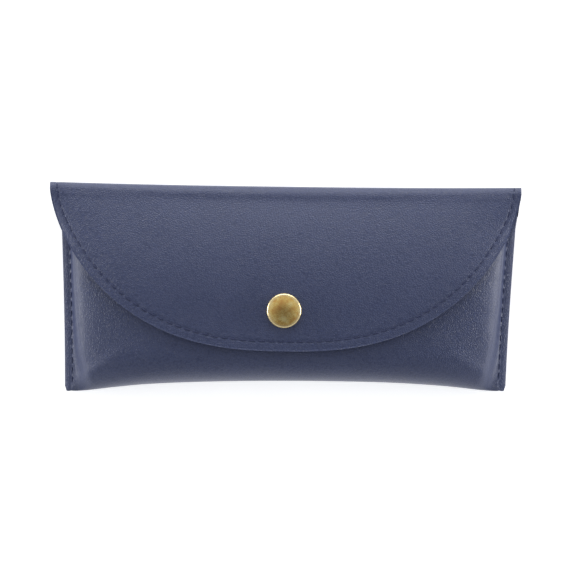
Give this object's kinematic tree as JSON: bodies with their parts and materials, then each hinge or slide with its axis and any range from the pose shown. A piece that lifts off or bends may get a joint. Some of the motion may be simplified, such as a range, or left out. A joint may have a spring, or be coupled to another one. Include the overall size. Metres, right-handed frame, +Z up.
{
  "type": "soft pouch glasses case",
  "caption": "Soft stitched leather pouch that holds folded glasses, with a curved flap that folds over the mouth and closes with a round metal snap.",
  "frame": {"origin": "middle of the footprint, on the surface that the back of the case rests on", "axes": "+X across the width, +Y from the bottom fold to the flap fold, +Z up through the front, where the flap closes"},
  "size_m": [0.17, 0.074, 0.0253],
  "materials": {
    "leather": "pebbled navy leather, semi-matt",
    "lining": "brushed microfibre, matt",
    "thread": "twisted polyester thread, slight sheen",
    "snap_metal": "polished, lacquered",
    "spring_wire": "drawn wire"
  },
  "bodies": {
    "pouch": {"outer_pouch": "leather", "lining_pouch": "lining", "left_seam_needle_thread": "thread", "left_seam_bobbin_thread": "thread", "right_seam_needle_thread": "thread", "right_seam_bobbin_thread": "thread", "mouth_needle_thread": "thread", "mouth_bobbin_thread": "thread", "snap_stud": "snap_metal", "snap_post": "snap_metal"},
    "fold_strip": {"outer_fold": "leather", "lining_fold": "lining"},
    "flap": {"outer_flap": "leather", "lining_flap": "lining", "flap_needle_thread": "thread", "flap_bobbin_thread": "thread", "snap_cap": "snap_metal", "snap_socket": "snap_metal", "snap_ring_spring": "spring_wire"}
  },
  "joints": [
    {"name": "back_fold", "type": "hinge", "parent": "pouch", "child": "fold_strip", "pos_m": [0, 0.03568, 0.00482], "axis": [-1, 0, 0], "range_deg": [0, 82]},
    {"name": "front_fold", "type": "hinge", "parent": "fold_strip", "child": "flap", "pos_m": [0, 0.03568, 0.01118], "axis": [-1, 0, 0], "range_deg": [0, 82]}
  ],
  "couplings": [
    {"joint": "front_fold", "follows": "back_fold", "ratio": 1}
  ]
}
